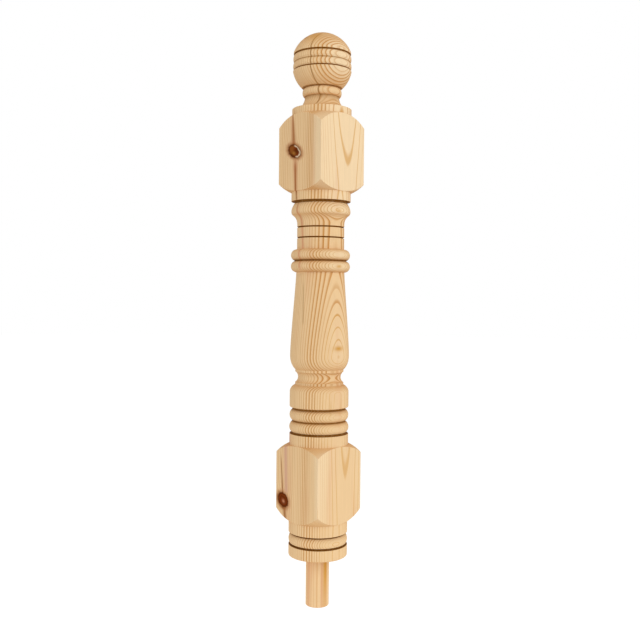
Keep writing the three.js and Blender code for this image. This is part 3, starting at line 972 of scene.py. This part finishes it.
        # The dark band is the knot's dark wood with painted shade of its hollow.
        body = paint.blend(body, finish.bark, paint.bell(along - aside * 0.5 - 0.2, 0.4) * 0.75)
        body = paint.blend(body, finish.late, self.spot(along, aside, *WORN_SPOT) * 0.6)
        colour = paint.blend(colour, body, paint.smooth(distance, *CHIPPED_BODY))
        colour = paint.blend(colour, finish.bark, paint.bell(distance - RIM_AT, 0.15) * 0.75)
        side = paint.smooth(along + aside * 0.45, -0.1, 0.3)
        return paint.blend(colour, finish.chip, paint.bell(distance - CHIP_AT, 0.1) * side * 0.9)

    def height(self, late):
        """Fine relief, half from late wood, which stands proud after sanding, and half from the fibres."""
        return late * 0.5 + self.paint.noise(self.place, RELIEF) * 0.5

    def finished(self):
        """The whole material."""
        paint, finish = self.paint, self.finish
        colour, late = self.clean_wood()
        colour = self.knots_over(self.streaks_over(colour))
        normal = paint.node("ShaderNodeNewGeometry", output="Normal")
        upright = paint.part(normal, "Z")
        colour = paint.blend(colour, finish.late, upright * upright * END_GRAIN_SHARE)
        # Scorch and painted shade: darkens the burnished slots and paints shade in creases and under the
        # beads.
        scorch_and_shade = paint.node("ShaderNodeAttribute", {"attribute_name": "scorch_and_shade"}, output="Fac")
        scorch_and_shade = paint.smooth(scorch_and_shade, 0.0, SCORCH_AND_SHADE_FULL)
        uneven = paint.smooth(paint.noise(self.place, CHAR), *CHAR_UNEVEN)
        colour = paint.blend(colour, finish.scorch_and_shade, scorch_and_shade * uneven * finish.scorch_and_shade_strength)
        relief = {"Height": self.height(late), "Strength": BUMP_STRENGTH, "Distance": BUMP_DISTANCE}
        bump = paint.node("ShaderNodeBump", {}, relief)
        sheen = (paint.noise(self.place, SHEEN) - 0.5) * SHEEN_SHARE
        sockets = {
            "Base Color": colour,
            "Roughness": ROUGHNESS + sheen - late * LATE_GLOSS,
            "Specular IOR Level": SPECULAR,
            "Normal": bump,
        }
        shader = paint.node("ShaderNodeBsdfPrincipled", {}, sockets)
        paint.node("ShaderNodeOutputMaterial", {}, {"Surface": shader})
        return paint.owner


class NEWEL_OT_turn_post(bpy.types.Operator):
    """Turns the post over its packed solid and gives it its pine"""

    bl_idname = "newel.turn_post"
    bl_label = "Turn the post"

    def execute(self, context):
        settings = context.scene.newel
        angles, grid, top = post_grid(settings)
        mesh = closed_post("newel_post_turned", angles, grid, -settings.foot.spigot_length, top)
        mesh.materials.append(Pine(settings.pine).finished())
        post = placed("newel_post_turned", mesh)
        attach(post, "root")
        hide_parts("newel_post")
        return {"FINISHED"}


FLOOR_SIDES = 96
SENSOR_WIDTH = 36.0
WHITE = (1.0, 1.0, 1.0, 1.0)
PALE = (0.8, 0.8, 0.8, 1.0)
FLOOR_ROUGHNESS = 0.95

# The side a light stands on and its rise are in degrees, its distance and size in metres.
LIGHTS = {
    "key_light": {"turn": 78, "rise": 26, "distance": 2.6, "size": 1.7, "watts": 20},
    "side_light": {"turn": 134, "rise": 13, "distance": 2.6, "size": 0.9, "watts": 5},
    "fill_light": {"turn": -25, "rise": 8, "distance": 2.8, "size": 2.2, "watts": 10},
}

# The sky's strength as a light and as it is seen, and how the floor glows and bounces light near the post.
LIGHTING_SKY = 0.62
SEEN_SKY = 1.0
SEEN_FLOOR = 1.15
SEEN_GLOW = 0.8
BOUNCE_LIGHT = 1.2
BOUNCE_SHARE = 0.62
BOUNCE_WITHIN = 0.6


def floor_disc(name, radius, height):
    """A flat disc: its rim is at (r cos a, r sin a), and it is filled as one polygon."""
    angle = np.linspace(0, 2 * math.pi, FLOOR_SIDES, endpoint=False)
    rim = np.stack([radius * np.cos(angle), radius * np.sin(angle), np.full(FLOOR_SIDES, height)], axis=-1)
    mesh = bpy.data.meshes.new(name)
    mesh.from_pydata(rim.tolist(), [], [list(range(FLOOR_SIDES))])
    return mesh


def pale_floor():
    """Matt and pale, with light bounced up near the post. Seen directly it is as white as the surround."""
    paint = Paint(bpy.data.materials.new("pale_floor"))
    matt = paint.node("ShaderNodeBsdfPrincipled", {}, {"Base Color": PALE, "Roughness": FLOOR_ROUGHNESS})
    bounce = paint.node("ShaderNodeEmission", {}, {"Color": WHITE, "Strength": BOUNCE_LIGHT})
    glow = paint.node("ShaderNodeEmission", {}, {"Color": WHITE, "Strength": SEEN_FLOOR})
    place = paint.node("ShaderNodeTexCoord", output="Object")
    away = paint.node("ShaderNodeVectorMath", {"operation": "LENGTH"}, {0: place}, "Value")
    near = paint.bell(away, BOUNCE_WITHIN) * BOUNCE_SHARE
    lit = paint.node("ShaderNodeMixShader", {}, {0: near, 1: matt, 2: bounce})
    seen = paint.node("ShaderNodeLightPath", output="Is Camera Ray")
    both = paint.node("ShaderNodeMixShader", {}, {0: seen * SEEN_GLOW, 1: lit, 2: glow})
    paint.node("ShaderNodeOutputMaterial", {}, {"Surface": both})
    return paint.owner


def soft_light(name, turn, rise, distance, size, watts, target):
    """A square area light at an azimuth and elevation, aimed at a point on the post."""
    data = bpy.data.lights.new(name, "AREA")
    data.energy, data.size = watts, size
    light = placed(name, data)
    a, e = math.radians(turn), math.radians(rise)
    away = Vector((math.sin(a) * math.cos(e), -math.cos(a) * math.cos(e), math.sin(e)))
    light.location = target + away * distance
    light.rotation_euler = away.to_track_quat("Z", "Y").to_euler()


def studio_sky(scene):
    """An even pale surround that lights the post softly and is seen as white."""
    paint = Paint(bpy.data.worlds.new("studio"))
    lighting = paint.node("ShaderNodeBackground", {}, {"Color": WHITE, "Strength": LIGHTING_SKY})
    seen = paint.node("ShaderNodeBackground", {}, {"Color": WHITE, "Strength": SEEN_SKY})
    direct = paint.node("ShaderNodeLightPath", output="Is Camera Ray")
    both = paint.node("ShaderNodeMixShader", {}, {0: direct, 1: lighting, 2: seen})
    paint.node("ShaderNodeOutputWorld", {}, {"Surface": both})
    scene.world = paint.owner


def photo_camera(scene, stage):
    """The camera at the photo's angle, as three unit vectors.

    Level, it looks along f0 with right r0 beside it. Tilted down by t it looks along f0 cos t - z sin t with
    u = z cos t + f0 sin t above it. Rolled by p its right is r0 cos p + u sin p, and its up is
    u cos p - r0 sin p.
    """
    turn, tilt, roll = stage.turn, stage.tilt, stage.roll
    heading = turn - stage.swing
    level = np.array([-math.sin(heading), math.cos(heading), 0])
    right = np.array([math.cos(heading), math.sin(heading), 0])
    upright = np.array([0, 0, 1])
    ahead = level * math.cos(tilt) - upright * math.sin(tilt)
    above = upright * math.cos(tilt) + level * math.sin(tilt)
    rolled_right = right * math.cos(roll) + above * math.sin(roll)
    rolled_up = above * math.cos(roll) - right * math.sin(roll)
    place = np.array([math.sin(turn) * stage.distance, -math.cos(turn) * stage.distance, stage.height])
    data = bpy.data.cameras.new("photo_camera")
    data.lens, data.sensor_width = stage.lens, SENSOR_WIDTH
    camera = placed("photo_camera", data)
    columns = np.stack([rolled_right, rolled_up, -ahead, place], axis=-1)
    camera.matrix_world = Matrix(np.vstack([columns, [0, 0, 0, 1]]).tolist())
    scene.camera = camera


class NEWEL_OT_set_stage(bpy.types.Operator):
    """Sets the pale floor, the soft lights and the camera"""

    bl_idname = "newel.set_stage"
    bl_label = "Set the stage"

    def execute(self, context):
        scene, settings = context.scene, context.scene.newel
        spigot_end = -settings.foot.spigot_length
        mesh = floor_disc("studio_floor", settings.stage.floor_radius, spigot_end)
        mesh.materials.append(pale_floor())
        floor = placed("studio_floor", mesh)
        studio_sky(scene)
        middle = Vector((0, 0, (CAD_LOW.z + CAD_HIGH.z) / 2))
        for name, light in LIGHTS.items():
            soft_light(name, **light, target=middle)
        photo_camera(scene, settings.stage)
        scene.view_settings.view_transform = "Standard"
        return {"FINISHED"}


class NEWEL_PT_sidebar(bpy.types.Panel):
    """Lists the post's sizes, colours and stage"""

    bl_idname = "NEWEL_PT_sidebar"
    bl_label = "Turned newel post"
    bl_space_type = "VIEW_3D"
    bl_region_type = "UI"
    bl_category = "Newel"

    def draw(self, context):
        settings = context.scene.newel
        self.layout.operator(NEWEL_OT_turn_post.bl_idname)
        self.layout.operator(NEWEL_OT_set_stage.bl_idname)
        for name, group in GROUPS.items():
            box = self.layout.box()
            box.label(text=name.capitalize())
            for size in group.__annotations__:
                box.prop(getattr(settings, name), size)


CLASSES = (*GROUPS.values(), NewelSettings, NEWEL_OT_turn_post, NEWEL_OT_set_stage, NEWEL_PT_sidebar)


def register():
    """Registers the classes and puts the settings on the scene."""
    for cls in CLASSES:
        bpy.utils.register_class(cls)
    bpy.types.Scene.newel = bpy.props.PointerProperty(type=NewelSettings)


def unregister():
    """Takes them away again."""
    del bpy.types.Scene.newel
    for cls in reversed(CLASSES):
        bpy.utils.unregister_class(cls)


def main():
    """Makes the post and its stage."""
    register()
    bpy.ops.newel.turn_post()
    bpy.ops.newel.set_stage()


if __name__ == "__main__":
    main()
